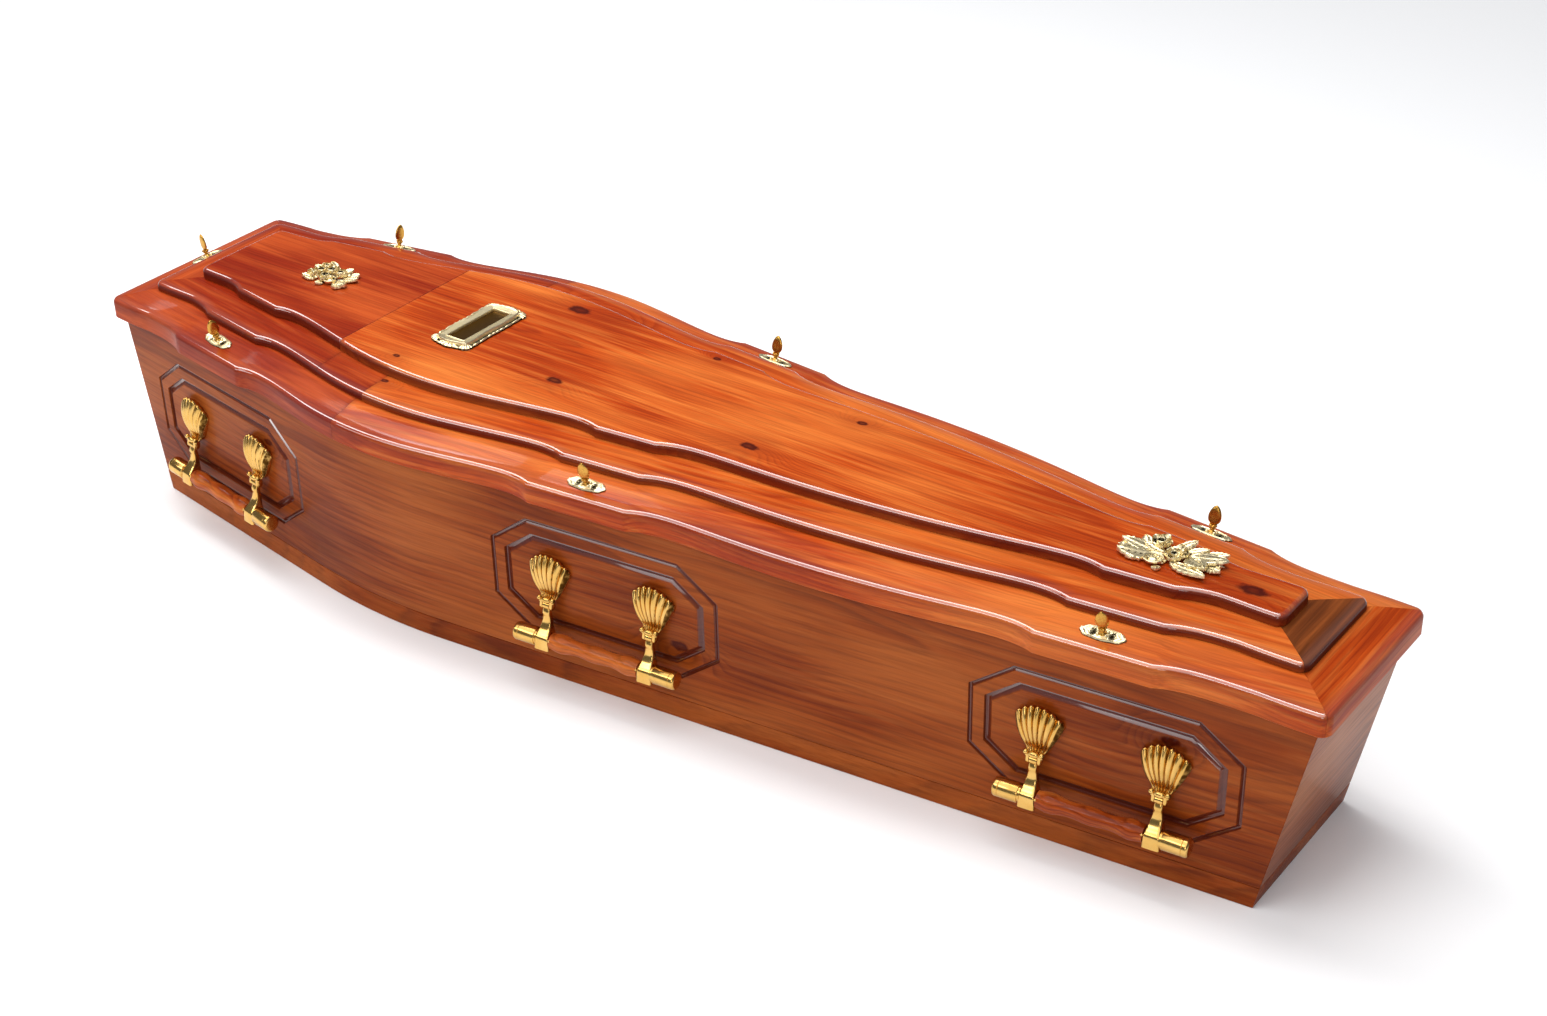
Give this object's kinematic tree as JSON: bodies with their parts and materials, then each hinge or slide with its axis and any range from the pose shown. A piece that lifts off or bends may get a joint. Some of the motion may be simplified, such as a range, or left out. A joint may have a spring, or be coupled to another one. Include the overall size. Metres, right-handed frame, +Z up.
{
  "type": "wooden coffin",
  "caption": "Tapered wooden coffin with curved shoulders, stepped wavy-edged lid, octagonal side panels, brass swing-bar handles, leaf-headed lid screws and a bare nameplate.",
  "frame": {"origin": "centre of the lid's length and width, on the plane of the underside", "axes": "+X runs along the coffin from the head to the foot, +Y to the left of whoever lies inside, +Z up"},
  "size_m": [1.98, 0.5384, 0.3664],
  "materials": {
    "lacquered_pine_side": "stained pine under gloss lacquer, browner on the sides",
    "lacquered_pine_end": "stained pine under gloss lacquer, greyer at the foot",
    "lacquered_pine_red": "red-stained pine under gloss lacquer",
    "lacquered_pine_orange": "orange-stained pine under gloss lacquer",
    "lacquered_walnut_brown": "dark brown wood under gloss lacquer",
    "turned_grip_wood": "turned pine under gloss lacquer",
    "polished_brass": "polished and lacquered",
    "pale_cast_brass": "pale cast finish with dark patina in the hollows"
  },
  "bodies": {
    "coffin": {"base_board": "lacquered_pine_side", "right_side": "lacquered_pine_side", "left_side": "lacquered_pine_side", "head_end": "lacquered_pine_side", "foot_end": "lacquered_pine_end", "lid_frame_head_rail": "lacquered_pine_red", "lid_frame_foot_rail": "lacquered_pine_red", "lid_frame_right_head_rail": "lacquered_pine_red", "lid_frame_right_foot_rail": "lacquered_pine_orange", "lid_frame_left_head_rail": "lacquered_pine_red", "lid_frame_left_foot_rail": "lacquered_pine_orange", "lid_step_head_rail": "lacquered_pine_red", "lid_step_foot_rail": "lacquered_walnut_brown", "lid_step_right_head_rail": "lacquered_pine_red", "lid_step_right_shoulder": "lacquered_pine_red", "lid_step_right_foot_rail": "lacquered_pine_orange", "lid_step_left_head_rail": "lacquered_pine_red", "lid_step_left_foot_rail": "lacquered_pine_orange", "lid_top_head_board": "lacquered_pine_red", "lid_top_main_board": "lacquered_pine_orange", "right_head_handle_plate_a": "polished_brass", "right_head_handle_plate_b": "polished_brass", "right_middle_handle_plate_a": "polished_brass", "right_middle_handle_plate_b": "polished_brass", "right_foot_handle_plate_a": "polished_brass", "right_foot_handle_plate_b": "polished_brass", "left_head_handle_plate_a": "polished_brass", "left_head_handle_plate_b": "polished_brass", "left_middle_handle_plate_a": "polished_brass", "left_middle_handle_plate_b": "polished_brass", "left_foot_handle_plate_a": "polished_brass", "left_foot_handle_plate_b": "polished_brass", "right_head_lid_screw": "pale_cast_brass", "right_middle_lid_screw": "pale_cast_brass", "right_foot_lid_screw": "pale_cast_brass", "left_head_lid_screw": "pale_cast_brass", "left_middle_lid_screw": "pale_cast_brass", "left_foot_lid_screw": "pale_cast_brass", "head_end_lid_screw": "pale_cast_brass", "nameplate": "pale_cast_brass", "head_flower_spray": "pale_cast_brass", "foot_flower_spray": "pale_cast_brass"},
    "right_head_swing_handle": {"right_head_handle_arm_a": "polished_brass", "right_head_handle_arm_b": "polished_brass", "right_head_handle_grip": "turned_grip_wood"},
    "right_middle_swing_handle": {"right_middle_handle_arm_a": "polished_brass", "right_middle_handle_arm_b": "polished_brass", "right_middle_handle_grip": "turned_grip_wood"},
    "right_foot_swing_handle": {"right_foot_handle_arm_a": "polished_brass", "right_foot_handle_arm_b": "polished_brass", "right_foot_handle_grip": "turned_grip_wood"},
    "left_head_swing_handle": {"left_head_handle_arm_a": "polished_brass", "left_head_handle_arm_b": "polished_brass", "left_head_handle_grip": "turned_grip_wood"},
    "left_middle_swing_handle": {"left_middle_handle_arm_a": "polished_brass", "left_middle_handle_arm_b": "polished_brass", "left_middle_handle_grip": "turned_grip_wood"},
    "left_foot_swing_handle": {"left_foot_handle_arm_a": "polished_brass", "left_foot_handle_arm_b": "polished_brass", "left_foot_handle_grip": "turned_grip_wood"}
  },
  "joints": [
    {"name": "right_head_handle_swing", "type": "hinge", "parent": "coffin", "child": "right_head_swing_handle", "pos_m": [-0.73032, -0.21756, 0.128], "axis": [-0.9862, 0.1655, 0], "range_deg": [0, 90]},
    {"name": "right_middle_handle_swing", "type": "hinge", "parent": "coffin", "child": "right_middle_swing_handle", "pos_m": [0.00139, -0.23286, 0.128], "axis": [-0.995, -0.0995, 0], "range_deg": [0, 90]},
    {"name": "right_foot_handle_swing", "type": "hinge", "parent": "coffin", "child": "right_foot_swing_handle", "pos_m": [0.71739, -0.16126, 0.128], "axis": [-0.995, -0.0995, 0], "range_deg": [0, 90]},
    {"name": "left_head_handle_swing", "type": "hinge", "parent": "coffin", "child": "left_head_swing_handle", "pos_m": [-0.73032, 0.21756, 0.128], "axis": [0.9862, 0.1655, 0], "range_deg": [0, 90]},
    {"name": "left_middle_handle_swing", "type": "hinge", "parent": "coffin", "child": "left_middle_swing_handle", "pos_m": [0.00139, 0.23286, 0.128], "axis": [0.995, -0.0995, 0], "range_deg": [0, 90]},
    {"name": "left_foot_handle_swing", "type": "hinge", "parent": "coffin", "child": "left_foot_swing_handle", "pos_m": [0.71739, 0.16126, 0.128], "axis": [0.995, -0.0995, 0], "range_deg": [0, 90]}
  ]
}
